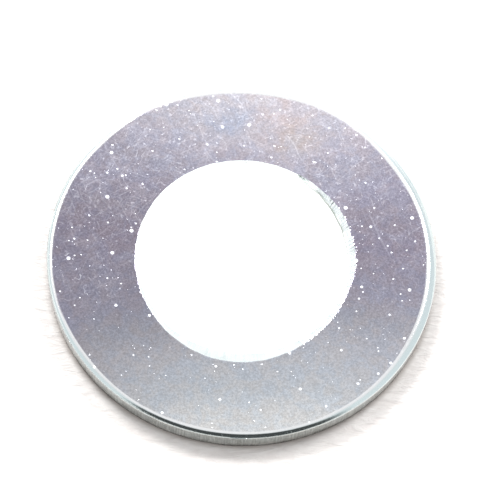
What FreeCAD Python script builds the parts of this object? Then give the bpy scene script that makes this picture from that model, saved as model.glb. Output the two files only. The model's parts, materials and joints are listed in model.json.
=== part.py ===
import FreeCAD, Part
import math
import os

# Light-series flat washer for an M12 bolt, stamped from 1.6 mm mild steel strip and zinc plated.
# Millimetres. +Z is up, the bore's axis is Z, and the origin is on that axis at the lower face.

# Driving dimensions: the nominal washer.
OUTER_DIAMETER = 24.0
BORE_DIAMETER = 13.0
THICKNESS = 1.6

# Outer edge. Blanking draws the upper rim down in a shallow curve, shears a burnished land, then
# breaks away inwards down to the lower face, where tumbling has taken off the sharp corner.
RIM_ROLL_WIDTH = 0.58
RIM_ROLL_DEPTH = 0.40
RIM_BREAK_START = 0.50
RIM_BREAK_INSET = 0.05
RIM_FOOT_CHAMFER = 0.06

# Bore. The hole was pierced from the lower face, so its roll is below, its land is in
# the middle, and it breaks out through the upper face. The punch stood a little off
# the middle of the die, so the break-out is wide on the +X side and narrow on the -X side.
BORE_ROLL_WIDTH = 0.16
BORE_ROLL_DEPTH = 0.12
BREAK_OUT_DEPTH = 0.55
BREAK_OUT_WIDE = 0.50
BREAK_OUT_NARROW = 0.06

# How far a cutting tool stands past the faces that it cuts.
TOOL_OVERRUN = 0.4

OUTER_RADIUS = OUTER_DIAMETER / 2
BORE_RADIUS = BORE_DIAMETER / 2


def profile_point(radius, height):
    """A point of the turned section, at a radius from the axis and a height above the lower face."""
    return FreeCAD.Vector(radius, 0, height)


def quarter_ellipse(centre_radius, centre_height, width, depth, first_angle, last_angle):
    """An arc of an ellipse in the section plane, between two angles in degrees from +X towards +Z."""
    ellipse = Part.Ellipse(
        profile_point(centre_radius + width, centre_height),
        profile_point(centre_radius, centre_height + depth),
        profile_point(centre_radius, centre_height),
    )
    return Part.ArcOfEllipse(ellipse, math.radians(first_angle), math.radians(last_angle))


def falling_curve(face_end, land_top):
    """A parabola that leaves the upper face level and steepens down to the top of the land."""
    level_point = profile_point((face_end.x + land_top.x) / 2, face_end.z)
    curve = Part.BezierCurve()
    curve.setPoles([face_end, level_point, land_top])
    return curve


def turned_blank():
    """The whole ring, turned from one closed section, before the break-out is cut."""
    lower_roll = quarter_ellipse(
        BORE_RADIUS + BORE_ROLL_WIDTH, BORE_ROLL_DEPTH, BORE_ROLL_WIDTH, BORE_ROLL_DEPTH, 180, 270
    )
    foot_radius = OUTER_RADIUS - RIM_BREAK_INSET

    upper_face_start = profile_point(BORE_RADIUS, THICKNESS)
    upper_face_end = profile_point(OUTER_RADIUS - RIM_ROLL_WIDTH, THICKNESS)
    land_top = profile_point(OUTER_RADIUS, THICKNESS - RIM_ROLL_DEPTH)
    land_bottom = profile_point(OUTER_RADIUS, RIM_BREAK_START)
    break_bottom = profile_point(foot_radius, RIM_FOOT_CHAMFER)
    lower_face_start = profile_point(foot_radius - RIM_FOOT_CHAMFER, 0)
    lower_face_end = profile_point(BORE_RADIUS + BORE_ROLL_WIDTH, 0)
    bore_land_bottom = profile_point(BORE_RADIUS, BORE_ROLL_DEPTH)

    edges = [
        Part.LineSegment(upper_face_start, upper_face_end).toShape(),
        falling_curve(upper_face_end, land_top).toShape(),
        Part.LineSegment(land_top, land_bottom).toShape(),
        Part.LineSegment(land_bottom, break_bottom).toShape(),
        Part.LineSegment(break_bottom, lower_face_start).toShape(),
        Part.LineSegment(lower_face_start, lower_face_end).toShape(),
        lower_roll.toShape(),
        Part.LineSegment(bore_land_bottom, upper_face_start).toShape(),
    ]
    section = Part.Face(Part.Wire(Part.sortEdges(edges)[0]))
    return section.revolve(FreeCAD.Vector(0, 0, 0), FreeCAD.Vector(0, 0, 1), 360)


def break_out_cutter():
    """A leaning cone: a circle of the bore's size at the top of the land, and a larger one,
    moved towards +X, at the upper face. Both are carried on past the face by the overrun."""
    growth = (BREAK_OUT_WIDE + BREAK_OUT_NARROW) / 2
    lean = (BREAK_OUT_WIDE - BREAK_OUT_NARROW) / 2
    reach = (BREAK_OUT_DEPTH + TOOL_OVERRUN) / BREAK_OUT_DEPTH
    up = FreeCAD.Vector(0, 0, 1)
    small_centre = FreeCAD.Vector(0, 0, THICKNESS - BREAK_OUT_DEPTH)
    large_centre = FreeCAD.Vector(lean * reach, 0, THICKNESS + TOOL_OVERRUN)
    small_circle = Part.Wire(Part.Circle(small_centre, up, BORE_RADIUS).toShape())
    large_circle = Part.Wire(Part.Circle(large_centre, up, BORE_RADIUS + growth * reach).toShape())
    return Part.makeLoft([small_circle, large_circle], True, True)


def make_washer():
    """The finished washer as one solid."""
    return turned_blank().cut(break_out_cutter()).Solids[0]


os.makedirs("parts", exist_ok=True)

washer = make_washer()
washer.exportStep("parts/washer.step")
box = washer.optimalBoundingBox()
print("washer valid:", washer.isValid(), "solids:", len(washer.Solids), "faces:", len(washer.Faces))
print("size mm:", round(box.XLength, 3), round(box.YLength, 3), round(box.ZLength, 3))
print("volume mm3:", round(washer.Volume, 2))
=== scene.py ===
import json
import math

import bpy
import numpy as np
from mathutils import Matrix, Vector


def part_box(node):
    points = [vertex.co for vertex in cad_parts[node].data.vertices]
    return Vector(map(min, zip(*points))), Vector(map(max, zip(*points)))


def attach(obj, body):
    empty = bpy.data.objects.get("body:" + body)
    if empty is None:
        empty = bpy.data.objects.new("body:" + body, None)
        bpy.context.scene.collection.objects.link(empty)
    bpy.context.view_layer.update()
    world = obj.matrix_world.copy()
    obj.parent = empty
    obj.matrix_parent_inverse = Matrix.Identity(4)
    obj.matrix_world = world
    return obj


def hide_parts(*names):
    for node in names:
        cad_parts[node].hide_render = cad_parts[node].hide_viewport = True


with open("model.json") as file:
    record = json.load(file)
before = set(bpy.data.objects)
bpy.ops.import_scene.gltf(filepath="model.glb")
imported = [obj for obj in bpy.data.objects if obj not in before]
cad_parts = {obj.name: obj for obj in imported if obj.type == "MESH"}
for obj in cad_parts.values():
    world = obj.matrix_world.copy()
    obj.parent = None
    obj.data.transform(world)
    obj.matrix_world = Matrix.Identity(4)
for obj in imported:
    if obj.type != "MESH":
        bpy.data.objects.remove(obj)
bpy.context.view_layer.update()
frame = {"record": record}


# ---------------------------------------------------------------------------------------------
# The washer: one ring of mild steel strip, punched out in a progressive die and barrel zinc
# plated. The hole is pierced from below, so it tears open at the upper face; the outside is
# blanked the other way, so the upper rim is rolled over and the lower part of the wall is torn.
# ---------------------------------------------------------------------------------------------

MM = 0.001

washer_low, washer_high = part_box("washer")
outer_radius = (washer_high.y - washer_low.y) / 2
thickness = washer_high.z - washer_low.z
bore_mount = next(m for m in frame["record"]["mounts"] if m["name"] == "bore")
bore_radius = bore_mount["dims"]["r_mm"] * MM

# The rolled upper rim, wide on the +X and +Y sides and narrow on the others, the sheared land under
# it, and the torn foot of the outer wall.
rim_roll_narrow = 0.31 * MM
rim_roll_wide = 0.68 * MM
rim_roll_shallow = 0.25 * MM
rim_roll_deep = 0.42 * MM
rim_roll_middle = math.radians(52)
rim_roll_spread = math.radians(92)
rim_corner = 0.03 * MM
rim_land_bottom = 0.50 * MM
rim_foot_inset = 0.05 * MM
rim_foot_chamfer = 0.06 * MM

# The rolled lower edge of the bore, its land, and the break-out through the upper face: toothed and
# wide at +X, a plain slope at -Y and hardly there at -X.
bore_roll_width = 0.16 * MM
bore_roll_depth = 0.12 * MM
break_out_depth = 0.55 * MM
break_out_wide = 0.40 * MM
break_out_front = 0.60 * MM
break_out_narrow = 0.012 * MM
break_out_middle = math.radians(6)
break_out_spread = math.radians(44)
break_out_front_middle = math.radians(-95)
break_out_front_spread = math.radians(52)
burr_lip = 0.020 * MM
crease_half = 0.025 * MM

STEPS_AROUND = 884


def ring_waves(angle, seed, slowest, fastest, count):
    """A wandering value around the ring: the sum of `count` cosines of the angle, with whole-number
    frequencies between slowest and fastest and random phases, scaled to a spread of one."""
    rng = np.random.default_rng(seed)
    frequency = rng.integers(slowest, fastest + 1, count)
    phase = rng.uniform(0, 2 * np.pi, count)
    strength = rng.uniform(0.5, 1.0, count)
    waves = strength * np.cos(angle[..., None] * frequency + phase)
    return waves.sum(-1) / np.sqrt((strength**2).sum() / 2)


def wall_waves(angle, along, seed, slowest, fastest, count, slant):
    """Streaks on a wall: cosines of frequency times the angle plus up to `slant` turns over the
    wall's own length, so a small slant gives streaks that run straight up the wall."""
    rng = np.random.default_rng(seed)
    frequency = rng.integers(slowest, fastest + 1, count)
    lean = rng.uniform(-slant, slant, count) * 2 * np.pi
    phase = rng.uniform(0, 2 * np.pi, count)
    waves = np.cos(angle[..., None] * frequency + along[..., None] * lean + phase)
    return waves.sum(-1) / np.sqrt(count / 2)


def window(angle, middle, spread, power=2):
    """A smooth hill around the ring: exp of minus a power of the angle from its middle over its
    spread. The squared hill is a bell, and the fourth power has a flat top."""
    away = np.angle(np.exp(1j * (angle - middle)))
    return np.exp(-(np.abs(away / spread) ** power))


def break_out_width(angle):
    """How far the bore is torn open at the upper face: narrow all round, with one swelling at +X,
    uneven along the way, and a smooth one at -Y; radial teeth stand on the +X swelling, and small
    ragged nicks where it closes again."""
    hill = window(angle, break_out_middle, break_out_spread)
    uneven = 1 + 0.10 * ring_waves(angle, 11, 6, 20, 8)
    front = break_out_front * window(angle, break_out_front_middle, break_out_front_spread)
    width = break_out_narrow + (break_out_wide - break_out_narrow) * hill * uneven + front
    spikes = np.clip(ring_waves(angle, 12, 150, 300, 30) - 0.5, 0, 1.6)
    teeth = 0.15 * MM * spikes * window(angle, math.radians(4), math.radians(27))
    closing = window(angle, math.radians(-36), math.radians(18))
    ragged = 0.030 * MM * ring_waves(angle, 13, 110, 290, 24) * closing
    wander = 0.006 * MM * ring_waves(angle, 14, 9, 60, 14)
    return np.clip(width + teeth + ragged + wander, 0.008 * MM, None)


def quarter_ellipse(steps, start, end):
    """Cosine and sine of evenly stepped angles, as a pair of one-row arrays."""
    turn = np.linspace(start, end, steps)[None, :]
    return np.cos(turn), np.sin(turn)


def stretch(steps, ease=0.0):
    """Evenly stepped 0 to 1 without its last value; ease pulls the steps towards both ends."""
    even = np.linspace(0, 1, steps + 1)[None, :-1]
    return even - ease * np.sin(2 * np.pi * even) / (2 * np.pi)


def washer_section(angle):
    """Radius and height of every point of the section at each angle, and which zone it is in.
    The section is one closed loop: out along the upper face, down the rolled rim, its land and
    its torn foot, back along the lower face, then up the bore's roll, land and break-out."""
    column = angle[:, None]
    one = np.ones_like(column)
    torn_radius = bore_radius + break_out_width(column)
    roll_hill = window(column, rim_roll_middle, rim_roll_spread, 4)
    roll_width = rim_roll_narrow + (rim_roll_wide - rim_roll_narrow) * roll_hill
    roll_width = roll_width * (1 + 0.05 * ring_waves(column, 21, 2, 12, 8))
    roll_depth = rim_roll_shallow + (rim_roll_deep - rim_roll_shallow) * roll_hill
    roll_depth = roll_depth * (1 + 0.04 * ring_waves(column, 22, 2, 12, 8))
    land_bottom = rim_land_bottom + 0.09 * MM * ring_waves(column, 23, 3, 40, 20)
    break_hill = window(column, break_out_middle, break_out_spread)
    break_start = thickness - break_out_depth * (0.34 + 0.66 * break_hill)
    break_start = break_start + 0.035 * MM * ring_waves(column, 24, 5, 50, 16)

    zones = []
    # Upper face, from the torn rim to where the roll starts.
    s = stretch(42, 0.35)
    face_inner = torn_radius + burr_lip
    face_outer = outer_radius - roll_width
    zones.append((face_inner + (face_outer - face_inner) * s, thickness * one + 0 * s, "face"))
    # Rolled rim: a parabola that leaves the face level and steepens towards the land.
    s = stretch(14)
    zones.append((face_outer + roll_width * s, thickness - roll_depth * s**2, "roll"))
    # Rounded corner, then the sheared land, straight down.
    roll_end = thickness - roll_depth
    zones.append((outer_radius - rim_corner * one, roll_end + rim_corner * 0.9, "roll"))
    zones.append((outer_radius - rim_corner * 0.25 * one, roll_end - rim_corner * 0.3, "corner"))
    zones.append((outer_radius * one, roll_end - rim_corner, "land"))
    s = stretch(6)
    land_top = roll_end - rim_corner * 1.5
    zones.append((outer_radius * one + 0 * s, land_top + (land_bottom - land_top) * s, "land"))
    # Torn foot, leaning in.
    s = stretch(9)
    foot_radius = outer_radius - rim_foot_inset
    tear = foot_radius + (outer_radius - foot_radius) * (1 - s)
    tear_height = land_bottom + (rim_foot_chamfer - land_bottom) * s
    zones.append((tear * one, tear_height, "tear"))
    # Lower face, with its chamfered foot as the first step.
    s = stretch(10)
    lower_outer = foot_radius - rim_foot_chamfer
    lower_inner = bore_radius + bore_roll_width
    zones.append((foot_radius * one, rim_foot_chamfer * one, "roll"))
    zones.append((lower_outer + (lower_inner - lower_outer) * s * one, 0 * s * one, "under"))
    # Rolled lower edge of the bore.
    turn_cos, turn_sin = quarter_ellipse(6, -math.pi / 2, -math.pi)
    turn_cos, turn_sin = turn_cos[:, :-1], turn_sin[:, :-1]
    bore_roll_radius = bore_radius + bore_roll_width * (1 + turn_cos)
    zones.append((bore_roll_radius * one, bore_roll_depth * (1 + turn_sin) * one, "roll"))
    # Bore land, straight up.
    s = stretch(6)
    zones.append((bore_radius * one + 0 * s, bore_roll_depth + (break_start - bore_roll_depth) * s, "land"))
    zones.append((bore_radius * one, break_start - crease_half, "land"))
    # Break-out, starting at a crease and opening towards the upper face, with a rounded lip.
    s = stretch(12)
    lip_height = thickness - burr_lip * 0.7
    zones.append((bore_radius * one, break_start, "crease"))
    torn_start = break_start + crease_half
    opening = bore_radius + (torn_radius - bore_radius) * s**1.25
    zones.append((opening, torn_start + (lip_height - torn_start) * s, "tear"))
    zones.append((torn_radius, lip_height * one, "tear"))
    zones.append((torn_radius + burr_lip * 0.35, (thickness - burr_lip * 0.2) * one, "tear"))

    radius = np.concatenate([zone[0] for zone in zones], axis=1)
    height = np.concatenate([zone[1] for zone in zones], axis=1)
    names = np.concatenate([[zone[2]] * zone[0].shape[1] for zone in zones])
    return radius, height, names


def roughen(angle, radius, height, names):
    """The small shape of each zone: the walls are pushed in by streaks, deep where they are torn and
    faint on the lands, and the upper face is lowered by slow waves and by shallow bell-shaped pits."""
    column = angle[:, None]
    up = height / thickness
    torn = ((names == "tear") | (names == "crease"))[None, :]
    land = (names == "land")[None, :]
    outside = radius > (outer_radius + bore_radius) / 2

    streaks = wall_waves(column, up, 31, 60, 330, 40, 0.9)
    chips = wall_waves(column, up, 32, 20, 140, 30, 2.5)
    bore_hill = window(column, break_out_middle, break_out_spread)
    torn_depth = 0.008 * MM + np.where(outside, 0.0, 0.008 * MM * bore_hill)
    wall_push = torn * torn_depth * (0.6 * streaks + 0.5 * chips)
    wall_push = wall_push + land * 0.0012 * MM * wall_waves(column, up, 33, 120, 420, 30, 0.15)
    sign = np.where(outside, -1.0, 1.0)
    radius = radius + sign * np.abs(wall_push)

    x = radius * np.cos(column)
    y = radius * np.sin(column)
    upper = height > thickness - rim_roll_shallow * 0.9
    rng = np.random.default_rng(41)
    slow = np.zeros_like(x)
    for spacing, size in ((9.0, 0.0030), (5.0, 0.0014), (2.4, 0.0005)):
        for _ in range(5):
            bearing = rng.uniform(0, 2 * np.pi)
            across = x * math.cos(bearing) + y * math.sin(bearing)
            slow = slow + size * MM * np.cos(across * 2 * np.pi / (spacing * MM) + rng.uniform(0, 2 * np.pi))

    pit_count = 60
    pit_radius = bore_radius + (outer_radius - bore_radius) * np.sqrt(rng.uniform(0.02, 0.93, pit_count))
    pit_angle = rng.uniform(-np.pi, np.pi, pit_count)
    pit_x = pit_radius * np.cos(pit_angle)
    pit_y = pit_radius * np.sin(pit_angle)
    pit_size = rng.uniform(0.10, 0.24, pit_count) * MM
    pit_depth = rng.uniform(0.003, 0.009, pit_count) * MM
    pits = np.zeros_like(x)
    for near in np.array_split(np.arange(pit_count), 6):
        gap2 = (x[..., None] - pit_x[near]) ** 2 + (y[..., None] - pit_y[near]) ** 2
        pits = pits + (pit_depth[near] * np.exp(-gap2 / pit_size[near] ** 2)).sum(-1)
    height = height + upper * (slow - np.abs(slow).max() - pits)
    return radius, height


def make_washer():
    """The section carried round the axis: x = r cos a, y = r sin a, closed both ways, with the arc
    length round and along the section kept as its UV map and the zones as point attributes."""
    angle = np.linspace(-np.pi, np.pi, STEPS_AROUND, endpoint=False)
    radius, height, names = washer_section(angle)
    radius, height = roughen(angle, radius, height, names)
    around, along = radius.shape
    x = radius * np.cos(angle)[:, None]
    y = radius * np.sin(angle)[:, None]
    points = np.stack([x, y, height], axis=-1).reshape(-1, 3)

    i, j = np.meshgrid(np.arange(around), np.arange(along), indexing="ij")
    i_next = (i + 1) % around
    j_next = (j + 1) % along
    corners = [i * along + j, i * along + j_next, i_next * along + j_next, i_next * along + j]
    faces = np.stack(corners, axis=-1).reshape(-1, 4)

    mesh = bpy.data.meshes.new("washer_surface")
    mesh.from_pydata(points, [], faces)
    mesh.polygons.foreach_set("use_smooth", np.ones(len(faces), bool))

    step_r = np.diff(np.append(radius[0], radius[0, 0]))
    step_z = np.diff(np.append(height[0], height[0, 0]))
    walked = np.concatenate([[0.0], np.cumsum(np.hypot(step_r, step_z))])
    turned = np.linspace(0, 2 * np.pi * outer_radius, around + 1)
    u = np.stack([turned[i], turned[i], turned[i + 1], turned[i + 1]], axis=-1)
    v = np.stack([walked[j], walked[j + 1], walked[j + 1], walked[j]], axis=-1)
    uv = mesh.uv_layers.new(name="wall_lengths")
    uv.data.foreach_set("uv", np.stack([u, v], axis=-1).astype(np.float32).ravel())

    outside = radius > (outer_radius + bore_radius) / 2
    # How near each point is to the start of the break-out, how torn that side of the bore is, and the
    # stretches where painted shade darkens the crease at +X and a painted dark reflection darkens the
    # rim's corner at -Y.
    from_crease = height - height[:, names == "crease"] - crease_half
    near_crease = ~outside * np.exp(-((from_crease / (0.10 * MM)) ** 2))
    torn_side = 0.25 + 0.75 * window(angle, break_out_middle, break_out_spread * 1.3)[:, None]
    crease_shade_side = window(angle, math.radians(28), math.radians(32))[:, None]
    corner_dark_reflection_side = 0.8 * window(angle, math.radians(-90), math.radians(28))[:, None]
    # How steep the outer rim is, nought on the faces to one on the walls.
    drop = np.clip((thickness - height) / (0.6 * rim_roll_shallow), 0, 1)
    bore_steep = (names == "tear") * (1.2 - torn_side) + (names == "land")
    masks = {
        "tear": (names == "tear") * np.where(outside, 1.0, torn_side),
        "land": (names == "land") * np.where(outside, 1.0, torn_side),
        # The crease mask places painted shade at the crease and a painted dark reflection at the -Y corner.
        "crease": near_crease * crease_shade_side + (names == "corner") * corner_dark_reflection_side,
        "steep": np.where(outside, (names == "roll") * drop, bore_steep),
    }
    for name, mask in masks.items():
        values = np.broadcast_to(mask, radius.shape).astype(np.float32)
        attribute = mesh.attributes.new(name, "FLOAT", "POINT")
        attribute.data.foreach_set("value", np.ascontiguousarray(values).ravel())
    mesh.update()
    washer = bpy.data.objects.new("flat_washer", mesh)
    bpy.context.scene.collection.objects.link(washer)
    return washer


class Graph:
    """Short words for placing and joining the nodes of one material."""

    def __init__(self, tree):
        self.tree = tree

    def node(self, kind, inputs=(), **settings):
        """A node of that kind, with its settings made and its inputs set or joined."""
        made = self.tree.nodes.new(kind)
        for name, value in settings.items():
            setattr(made, name, value)
        for name, value in dict(inputs).items():
            if isinstance(value, bpy.types.NodeSocket):
                self.tree.links.new(value, made.inputs[name])
            else:
                made.inputs[name].default_value = value
        return made

    def math(self, operation, a, b=0.0, clamp=False):
        """One sum on two values."""
        return self.node("ShaderNodeMath", {0: a, 1: b}, operation=operation, use_clamp=clamp).outputs[0]

    def remap(self, value, low, high, to_low=0.0, to_high=1.0):
        """value taken smoothly from low..high to to_low..to_high, held at both ends."""
        inputs = {"Value": value, "From Min": low, "From Max": high, "To Min": to_low, "To Max": to_high}
        return self.node("ShaderNodeMapRange", inputs, interpolation_type="SMOOTHSTEP").outputs["Result"]

    def noise(self, vector, scale, detail=2.0, roughness=0.5, distortion=0.0):
        """A soft cloud value about 0.5."""
        inputs = {"Vector": vector, "Scale": scale, "Detail": detail, "Roughness": roughness}
        inputs["Distortion"] = distortion
        return self.node("ShaderNodeTexNoise", inputs).outputs["Fac"]

    def distance(self, vector, point):
        """How far the vector is from a fixed point."""
        inputs = {0: vector, 1: point}
        return self.node("ShaderNodeVectorMath", inputs, operation="DISTANCE").outputs["Value"]

    def length(self, vector):
        """How long the vector is."""
        return self.node("ShaderNodeVectorMath", {0: vector}, operation="LENGTH").outputs["Value"]

    def mix(self, factor, a, b, blend="MIX"):
        """Colour a going to colour b."""
        made = self.node("ShaderNodeMix", data_type="RGBA", blend_type=blend)
        for socket, value in ((made.inputs[0], factor), (made.inputs[6], a), (made.inputs[7], b)):
            if isinstance(value, bpy.types.NodeSocket):
                self.tree.links.new(value, socket)
            else:
                socket.default_value = value
        return made.outputs[2]


def hairlines(graph, mm_place, bearing, long_per_mm, fine_per_mm, rarity, shift):
    """Thin curved scratches that run mostly one way: a cloud stretched along the bearing, bent by a
    slow cloud, and cut off above a height that leaves only its narrow crests."""
    cloud = graph.node("ShaderNodeTexNoise", {"Vector": mm_place, "Scale": 0.35, "Detail": 1.0})
    bend = graph.node(
        "ShaderNodeVectorMath", {0: cloud.outputs["Color"], 1: (0.5, 0.5, 0.5)}, operation="SUBTRACT"
    ).outputs[0]
    bend = graph.node("ShaderNodeVectorMath", {0: bend, 1: (1.2, 1.2, 0.0)}, operation="MULTIPLY").outputs[0]
    bent = graph.node("ShaderNodeVectorMath", {0: mm_place, 1: bend}, operation="ADD").outputs[0]
    turned = graph.node(
        "ShaderNodeMapping",
        {"Vector": bent, "Location": shift, "Rotation": (0.0, 0.0, bearing), "Scale": (1.0, 1.0, 0.0)},
    ).outputs[0]
    drawn = graph.node(
        "ShaderNodeVectorMath", {0: turned, 1: (long_per_mm, fine_per_mm, 0.0)}, operation="MULTIPLY"
    ).outputs[0]
    crest = graph.noise(drawn, 1.0, 1.0, 0.5)
    return graph.remap(crest, rarity, rarity + 0.10)


def zinc_plate():
    """Bright zinc under a clear chromate film: metal whose tint drifts from grey-violet across the
    middle to pale lilac at +Y and pale grey at -Y, partly the film's own tint and partly a painted
    reflection of the room that the face mirrors, with rose, brown and blue patches and a faint warm
    and cool mottle. It is finely grained and made paler towards +X as painted light, with hairlines,
    flecks, curled wisps and pale specks of zinc salt; the torn walls are streaked and duller. The
    rolled rim carries a painted highlight and painted shade, the outer walls and the outer wall's
    foot and the crease in the bore are darkened as painted shade, and the rim's corner at -Y is
    darkened as a painted dark reflection."""
    material = bpy.data.materials.new("zinc_plate")
    material.use_nodes = True
    tree = material.node_tree
    shader = tree.nodes["Principled BSDF"]
    graph = Graph(tree)
    link = tree.links.new

    place = graph.node("ShaderNodeTexCoord").outputs["Object"]
    in_mm = {"Vector": place, "Scale": (1 / MM, 1 / MM, 1 / MM)}
    mm_place = graph.node("ShaderNodeMapping", in_mm).outputs[0]
    axes = graph.node("ShaderNodeSeparateXYZ", {"Vector": mm_place})
    across, towards, up = axes.outputs["X"], axes.outputs["Y"], axes.outputs["Z"]
    lengths = graph.node("ShaderNodeUVMap", uv_map="wall_lengths").outputs[0]
    torn = graph.node("ShaderNodeAttribute", attribute_name="tear").outputs["Fac"]
    land = graph.node("ShaderNodeAttribute", attribute_name="land").outputs["Fac"]
    steep = graph.node("ShaderNodeAttribute", attribute_name="steep").outputs["Fac"]
    # The crease attribute marks where painted shade and a painted dark reflection go.
    crease = graph.node("ShaderNodeAttribute", attribute_name="crease").outputs["Fac"]

    # The film's tint together with a painted reflection of the room: darker across the middle and paler at
    # +Y and -Y, by how far along Y on bowed and slightly leaning lines, shifted by a slow cloud.
    cloud = graph.noise(mm_place, 0.16, 3.0, 0.55)
    drift = graph.math("MULTIPLY_ADD", cloud, 2.4)
    drift.node.inputs[2].default_value = -1.2
    lean = graph.remap(towards, -4.3, 3.7, 0.156, -0.044)
    tilted = graph.math("SUBTRACT", towards, graph.math("MULTIPLY", across, lean))
    bow = graph.math("SUBTRACT", 1.0, graph.math("MULTIPLY", graph.math("MULTIPLY", across, across), 0.0028))
    along = graph.math("ADD", graph.math("MULTIPLY", tilted, bow), drift)
    position = graph.remap(along, -12.0, 12.0)
    position.node.interpolation_type = "LINEAR"
    # Painted reflection: this ramp's dark middle band and pale ends stand in for the room that the face
    # mirrors.
    tint_and_painted_reflection = graph.node("ShaderNodeValToRGB", {"Fac": position})
    ramp = tint_and_painted_reflection.color_ramp
    stops = (
        (0.042, (0.830, 0.840, 0.845, 1)),
        (0.125, (0.655, 0.680, 0.716, 1)),
        (0.208, (0.593, 0.607, 0.651, 1)),
        (0.271, (0.535, 0.532, 0.576, 1)),
        (0.333, (0.444, 0.438, 0.488, 1)),
        (0.396, (0.386, 0.369, 0.446, 1)),
        (0.479, (0.360, 0.332, 0.412, 1)),
        (0.542, (0.360, 0.320, 0.400, 1)),
        (0.604, (0.388, 0.353, 0.432, 1)),
        (0.667, (0.452, 0.418, 0.515, 1)),
        (0.729, (0.518, 0.490, 0.580, 1)),
        (0.792, (0.622, 0.580, 0.672, 1)),
        (0.875, (0.735, 0.694, 0.765, 1)),
        (0.958, (0.850, 0.800, 0.860, 1)),
    )
    ramp.elements[0].position, ramp.elements[0].color = stops[0]
    ramp.elements[1].position, ramp.elements[1].color = stops[-1]
    for stop, colour in stops[1:-1]:
        ramp.elements.new(stop).color = colour
    colour = tint_and_painted_reflection.outputs["Color"]

    # Rose, brown and blue patches where the film is thicker or thinner.
    ragged = graph.noise(mm_place, 0.8, 3.0, 0.6)
    for middle, reach, strength, patch_colour in (
        ((2.4, 9.6, 1.6), 2.6, 0.50, (0.86, 0.70, 0.70, 1)),
        ((3.3, 7.9, 1.6), 1.5, 0.55, (0.78, 0.66, 0.58, 1)),
        ((-0.9, 9.3, 1.6), 1.9, 0.55, (0.62, 0.70, 0.90, 1)),
        ((-4.5, 8.0, 1.6), 2.4, 0.20, (0.66, 0.68, 0.84, 1)),
    ):
        gap = graph.distance(mm_place, middle)
        gap = graph.math("ADD", gap, graph.math("MULTIPLY", ragged, 3.0))
        patch = graph.math("MULTIPLY", graph.remap(gap, reach + 1.9, 1.2), strength)
        colour = graph.mix(patch, colour, patch_colour)

    # Fine grain of the plate, with a faint warm and cool mottle, and made paler towards +X as painted light.
    grain = graph.noise(mm_place, 8.0, 3.0, 0.7)
    coarse = graph.noise(mm_place, 1.3, 3.0, 0.6)
    shade = graph.math("ADD", graph.math("MULTIPLY", grain, 0.88), graph.math("MULTIPLY", coarse, 0.12))
    shade = graph.remap(shade, 0.32, 0.68, 0.86, 1.14)
    # Painted light: the face is made paler towards +X.
    shade = graph.math("MULTIPLY", shade, graph.remap(across, -14.0, 14.0, 0.91, 1.13))
    warmth = graph.remap(graph.noise(mm_place, 1.1, 3.0, 0.6, 0.6), 0.36, 0.64, -0.030, 0.030)
    warm = graph.math("MULTIPLY", shade, graph.math("ADD", 1.0, warmth))
    cool = graph.math("MULTIPLY", shade, graph.math("SUBTRACT", 1.0, warmth))
    mottle = graph.node("ShaderNodeCombineColor", {0: warm, 1: shade, 2: cool}).outputs[0]
    colour = graph.mix(1.0, colour, mottle, "MULTIPLY")

    # Hairline scratches: six families, each running its own way, thickest in the +Y half.
    handled = graph.math("ADD", towards, graph.math("MULTIPLY", cloud, 4.0))
    handled = graph.remap(handled, -4.0, 8.0, 0.10, 0.9)
    lines = None
    for bearing, long_per_mm, fine_per_mm, rarity, shift in (
        (0.35, 0.50, 15.0, 0.62, (3.0, 1.0, 0.0)),
        (1.15, 0.40, 13.0, 0.62, (11.0, 4.0, 0.0)),
        (1.95, 0.60, 16.0, 0.62, (23.0, 9.0, 0.0)),
        (2.65, 0.45, 14.0, 0.62, (37.0, 2.0, 0.0)),
        (1.05, 0.16, 6.0, 0.66, (51.0, 6.0, 0.0)),
        (2.30, 0.20, 8.0, 0.66, (67.0, 8.0, 0.0)),
    ):
        one = hairlines(graph, mm_place, bearing, long_per_mm, fine_per_mm, rarity, shift)
        lines = one if lines is None else graph.math("MAXIMUM", lines, one)

    # Specks of pale zinc salt, large and few, small and many, smaller towards -Y.
    speckled = graph.remap(towards, -6.0, 1.0, 0.70, 1.0)
    specks = None
    for scale, low, high in ((0.9, 0.090, 0.125), (1.6, 0.075, 0.112), (2.7, 0.042, 0.085)):
        inputs = {"Vector": mm_place, "Scale": scale, "Randomness": 1.0}
        away = graph.node("ShaderNodeTexVoronoi", inputs, feature="F1").outputs["Distance"]
        away = graph.math("DIVIDE", away, speckled)
        one = graph.remap(away, high, low)
        specks = one if specks is None else graph.math("MAXIMUM", specks, one)

    # Ragged flecks and a thin haze, added to the lines.
    flecks = graph.math("MULTIPLY", graph.remap(graph.noise(mm_place, 4.0, 3.0, 0.65), 0.58, 0.70), 0.25)
    haze = graph.math("MULTIPLY", graph.remap(graph.noise(mm_place, 0.8, 4.0, 0.7), 0.46, 0.66), 0.09)
    marks = graph.math("ADD", graph.math("MULTIPLY", lines, 0.18), graph.math("ADD", flecks, haze))
    # Curled wisps, where the film was rubbed: the thin lines along which a slow cloud is at its mean.
    curl = graph.math("SUBTRACT", graph.noise(mm_place, 0.75, 2.0, 0.5), 0.5)
    curl = graph.remap(graph.math("ABSOLUTE", curl), 0.011, 0.002, 0.0, 0.34)
    broken = graph.remap(graph.noise(mm_place, 1.3, 2.0, 0.6), 0.50, 0.62)
    rubbed = graph.remap(graph.distance(mm_place, (-9.2, -1.2, 1.6)), 4.0, 1.5)
    rubbed = graph.math("MAXIMUM", handled, rubbed)
    wisps = graph.math("MULTIPLY", graph.math("MULTIPLY", curl, broken), rubbed)
    marks = graph.math("MULTIPLY", marks, graph.math("MAXIMUM", handled, graph.math("MULTIPLY", rubbed, 0.5)))
    pale = graph.math("MAXIMUM", graph.math("MAXIMUM", marks, wisps), specks)
    colour = graph.mix(pale, colour, (0.92, 0.94, 0.99, 1))
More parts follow.
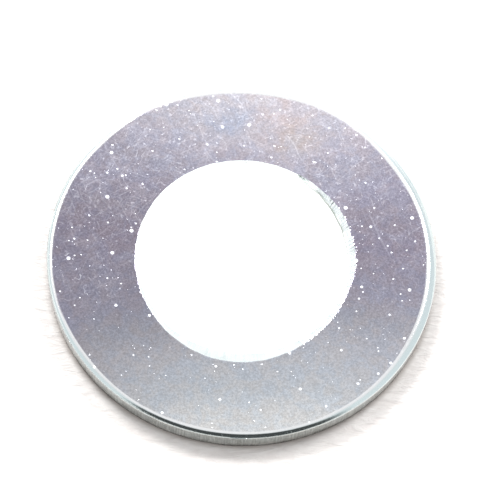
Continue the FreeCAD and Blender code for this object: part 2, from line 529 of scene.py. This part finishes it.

    # Streaks up the walls, greener than the faces on the outside and pale in the bore. The outside
    # walls are also darkened as painted shade, standing for the shadowed paper that they mirror.
    streak_place = {"Vector": lengths, "Scale": (9.0 / MM, 0.7 / MM, 1.0)}
    streak = graph.noise(graph.node("ShaderNodeMapping", streak_place).outputs[0], 1.0, 3.0, 0.6)
    wall = graph.math("MAXIMUM", torn, land)
    from_axis = graph.node("ShaderNodeCombineXYZ", {"X": across, "Y": towards}).outputs[0]
    outer_wall = graph.remap(graph.length(from_axis), 9.0, 10.0)
    streaky = graph.remap(streak, 0.38, 0.64)
    bore_tint = graph.mix(streaky, (0.70, 0.78, 0.77, 1), (0.97, 1.0, 1.0, 1))
    # Painted shade: the outer wall's dark tint stands in for the shadowed paper that it mirrors.
    outer_wall_tint_and_shade = graph.mix(streaky, (0.30, 0.33, 0.30, 1), (0.56, 0.60, 0.57, 1))
    wall_tint = graph.mix(outer_wall, bore_tint, outer_wall_tint_and_shade)
    # Painted highlight and painted shade on the rolled rim: white where it starts, greyer towards its
    # outer edge, and pale all the way out at +Y.
    rim_shade_and_highlight = graph.mix(graph.remap(towards, 5.0, 9.0), (0.61, 0.70, 0.70, 1), (0.90, 0.98, 0.98, 1))
    rim_shade_and_highlight = graph.mix(outer_wall, (0.92, 1.0, 0.98, 1), rim_shade_and_highlight)
    rolled = graph.mix(graph.remap(steep, 0.10, 0.60), (1.0, 1.0, 1.0, 1), rim_shade_and_highlight)
    colour = graph.mix(graph.remap(steep, 0.0, 0.12, 0.0, 0.92), colour, rolled)
    colour = graph.mix(graph.math("MULTIPLY", wall, 0.80), colour, wall_tint)
    # Painted shade: the outer wall's foot is darkened as a contact shadow and the crease in the bore as
    # shade, and the rim's corner at -Y is darkened as a painted dark reflection.
    foot = graph.math("MULTIPLY", graph.math("MULTIPLY", graph.remap(up, 0.34, 0.06), 0.8), outer_wall)
    colour = graph.mix(foot, colour, (0.16, 0.15, 0.14, 1))
    # Painted shade at the crease and a painted dark reflection at the rim's -Y corner.
    colour = graph.mix(graph.math("MULTIPLY", crease, 0.9), colour, (0.07, 0.09, 0.07, 1))
    link(colour, shader.inputs["Base Color"])

    metal = graph.math("SUBTRACT", 1.0, graph.math("MULTIPLY", pale, 0.85), True)
    link(metal, shader.inputs["Metallic"])

    dull = graph.remap(grain, 0.30, 0.70, 0.12, 0.15)
    dull = graph.math("ADD", dull, graph.math("MULTIPLY", torn, 0.14))
    dull = graph.math("ADD", dull, graph.math("MULTIPLY", pale, 0.25))
    link(dull, shader.inputs["Roughness"])

    relief = graph.math("MULTIPLY", grain, 0.45)
    relief = graph.math("ADD", relief, graph.math("MULTIPLY", specks, 0.9))
    relief = graph.math("SUBTRACT", relief, graph.math("MULTIPLY", lines, 0.10))
    relief = graph.math("ADD", relief, graph.math("MULTIPLY", graph.math("MULTIPLY", streak, wall), 2.0))
    bump = graph.node("ShaderNodeBump", {"Height": relief, "Strength": 0.5, "Distance": 0.006 * MM})
    link(bump.outputs["Normal"], shader.inputs["Normal"])
    return material


washer = make_washer()
washer.data.materials.append(zinc_plate())
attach(washer, "root")
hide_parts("washer")


# ---------------------------------------------------------------------------------------------
# The sheet of white paper that the washer lies on: plain, matt, with a faint fibre grain. It
# glows softly inside the bore, so that the hole reads as white. It isn't part of the object.
# ---------------------------------------------------------------------------------------------

SHEET_HALF = 0.25


def make_sheet():
    """A square at height zero: four corners and one face."""
    mesh = bpy.data.meshes.new("paper_sheet")
    half = SHEET_HALF
    corners = [(-half, -half, 0), (half, -half, 0), (half, half, 0), (-half, half, 0)]
    mesh.from_pydata(corners, [], [(0, 1, 2, 3)])
    sheet = bpy.data.objects.new("paper_sheet", mesh)
    bpy.context.scene.collection.objects.link(sheet)
    return sheet


def white_paper():
    """Matt white with long low fibres that run along X, a soft glow inside the bore, and a warm dark
    shade close to the washer's foot on the -Y side."""
    material = bpy.data.materials.new("white_paper")
    material.use_nodes = True
    shader = material.node_tree.nodes["Principled BSDF"]
    graph = Graph(material.node_tree)
    place = graph.node("ShaderNodeTexCoord").outputs["Object"]
    drawn = {"Vector": place, "Scale": (0.52 / MM, 1.7 / MM, 1 / MM)}
    fibre = graph.noise(graph.node("ShaderNodeMapping", drawn).outputs[0], 1.0, 5.0, 0.62, 1.4)
    away = graph.length(place)
    bore_glow = graph.remap(away, bore_radius + 0.20 * MM, bore_radius + 0.12 * MM, 0.0, 0.80)
    material.node_tree.links.new(bore_glow, shader.inputs["Emission Strength"])
    shader.inputs["Emission Color"].default_value = (1, 1, 1, 1)
    pale = graph.mix(graph.remap(fibre, 0.36, 0.62), (0.92, 0.87, 0.84, 1), (0.99, 0.95, 0.92, 1))
    towards = graph.node("ShaderNodeSeparateXYZ", {"Vector": place}).outputs["Y"]
    beside = graph.remap(away, outer_radius + 0.36 * MM, outer_radius - 0.10 * MM)
    beside = graph.math("MULTIPLY", beside, graph.remap(towards, 1.0 * MM, -6.0 * MM, 0.0, 0.55))
    pale = graph.mix(beside, pale, (0.30, 0.24, 0.20, 1))
    material.node_tree.links.new(pale, shader.inputs["Base Color"])
    shader.inputs["Roughness"].default_value = 0.9
    shader.inputs["Specular IOR Level"].default_value = 0.1
    bump = graph.node("ShaderNodeBump", {"Height": fibre, "Strength": 0.9, "Distance": 0.15 * MM})
    material.node_tree.links.new(bump.outputs["Normal"], shader.inputs["Normal"])
    return material


sheet = make_sheet()
sheet.data.materials.append(white_paper())


# ---------------------------------------------------------------------------------------------
# Studio light: a white room with a dimmer ceiling, darker behind the camera, and two soft boxes
# high up on the +Y side.
# ---------------------------------------------------------------------------------------------

def light_room():
    """The room's glow by direction: white all round the horizon, dimmer overhead, a little dimmer
    again about the direction that the upper face mirrors, and dark low down on the -Y side."""
    world = bpy.data.worlds.new("studio")
    bpy.context.scene.world = world
    world.use_nodes = True
    tree = world.node_tree
    background = tree.nodes["Background"]
    graph = Graph(tree)
    way = graph.node("ShaderNodeTexCoord").outputs["Generated"]

    def around(azimuth, elevation, outer, inner):
        """One within `inner` degrees of a direction, falling to nothing at `outer` degrees."""
        a, e = math.radians(azimuth), math.radians(elevation)
        middle = (math.sin(a) * math.cos(e), math.cos(a) * math.cos(e), math.sin(e))
        near = graph.node("ShaderNodeVectorMath", {0: way, 1: middle}, operation="DOT_PRODUCT")
        edge, full = math.cos(math.radians(outer)), math.cos(math.radians(inner))
        return graph.remap(near.outputs["Value"], edge, full)

    ceiling = around(186, 82, 58, 38)
    mirrored = around(5, 65, 8, 2)
    behind = around(180, 8, 52, 38)
    glow = graph.math("SUBTRACT", 1.08, graph.math("MULTIPLY", ceiling, 0.20))
    glow = graph.math("SUBTRACT", glow, graph.math("MULTIPLY", mirrored, 0.15))
    glow = graph.math("MULTIPLY", glow, graph.math("SUBTRACT", 1.0, graph.math("MULTIPLY", behind, 0.92)))
    background.inputs["Color"].default_value = (0.97, 0.98, 1.0, 1)
    tree.links.new(glow, background.inputs["Strength"])


def soft_box(name, azimuth, elevation, distance, size, strength, colour):
    """A square area lamp, aimed at the washer, at a bearing from +Y towards +X and a height angle."""
    a, e = math.radians(azimuth), math.radians(elevation)
    way = Vector((math.sin(a) * math.cos(e), math.cos(a) * math.cos(e), math.sin(e)))
    lamp = bpy.data.lights.new(name, "AREA")
    lamp.size = size
    lamp.energy = strength
    lamp.color = colour
    holder = bpy.data.objects.new(name, lamp)
    holder.location = way * distance
    holder.rotation_euler = way.to_track_quat("Z", "Y").to_euler()
    bpy.context.scene.collection.objects.link(holder)


light_room()
soft_box("left_box", -34, 45, 0.60, 0.20, 2.5, (1.0, 1.0, 1.0))
soft_box("right_box", 46, 45, 0.60, 0.20, 1.45, (1.0, 1.0, 1.0))


# ---------------------------------------------------------------------------------------------
# Camera: a long lens above the -Y side, looking steeply down at the washer and turned a little
# about its own axis.
# ---------------------------------------------------------------------------------------------

CAMERA_ELEVATION = math.radians(64.6)
CAMERA_AZIMUTH = math.radians(-4.5)
CAMERA_DISTANCE = 0.17
CAMERA_ROLL = math.radians(6.0)
VIEW_WIDTH = 30.9 * MM
AIM = Vector((0.495 * MM, 0.735 * MM, thickness / 2))

camera_data = bpy.data.cameras.new("camera")
camera_data.sensor_width = 36
camera_data.lens = camera_data.sensor_width * CAMERA_DISTANCE / VIEW_WIDTH
camera_data.clip_start = 0.001
camera = bpy.data.objects.new("camera", camera_data)
back = Vector((
    math.sin(CAMERA_AZIMUTH) * math.cos(CAMERA_ELEVATION),
    -math.cos(CAMERA_AZIMUTH) * math.cos(CAMERA_ELEVATION),
    math.sin(CAMERA_ELEVATION),
))
turn = back.to_track_quat("Z", "Y").to_matrix().to_4x4() @ Matrix.Rotation(CAMERA_ROLL, 4, "Z")
camera.matrix_world = Matrix.Translation(AIM + back * CAMERA_DISTANCE) @ turn
bpy.context.scene.collection.objects.link(camera)
bpy.context.scene.camera = camera
bpy.context.scene.view_settings.view_transform = "Standard"
